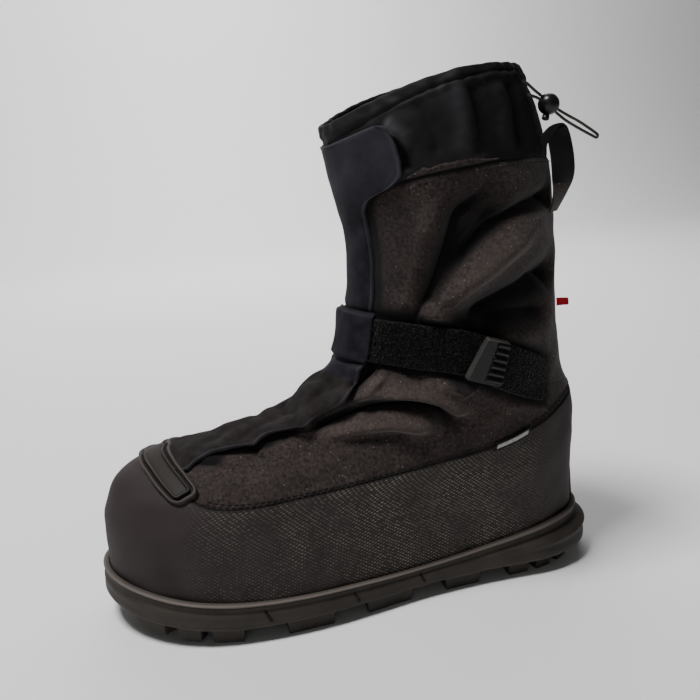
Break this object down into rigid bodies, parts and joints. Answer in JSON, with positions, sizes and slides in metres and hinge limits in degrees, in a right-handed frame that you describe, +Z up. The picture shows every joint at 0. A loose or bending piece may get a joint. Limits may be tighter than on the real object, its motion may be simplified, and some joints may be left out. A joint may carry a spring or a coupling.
{
  "type": "winter overshoe",
  "caption": "Tall insulated winter overshoe with a rubber outsole, front flap, instep strap with buckle and a cinched collar.",
  "frame": {"origin": "on the floor under the middle of the heel", "axes": "toe towards -X, outer side with the buckle towards -Y, inner side towards +Y, +Z up"},
  "size_m": [0.3405, 0.1312, 0.3368],
  "materials": {
    "rubber": "satin moulded thermoplastic rubber",
    "foam": "matte fleece-topped foam",
    "heather_fabric": "matte heather nylon",
    "coated_fabric": "soft satin coated nylon",
    "navy_fabric": "smooth navy nylon",
    "webbing": "deep matte pile webbing",
    "black_plastic": "glossy acetal",
    "red_tape": "woven tape",
    "cord": "braided elastic, slight sheen"
  },
  "bodies": {
    "root": {"outsole": "rubber", "insole": "foam", "upper": "heather_fabric", "collar": "coated_fabric", "toe_band": "rubber", "front_flap": "navy_fabric", "strap": "webbing", "strap_anchor": "webbing", "strap_keeper": "navy_fabric", "buckle": "black_plastic", "side_label": "coated_fabric", "heel_guard": "rubber", "back_tab": "red_tape", "pull_loop": "coated_fabric", "cord_lock": "black_plastic", "cord_lock_button": "black_plastic", "drawcord": "cord"}
  },
  "joints": []
}
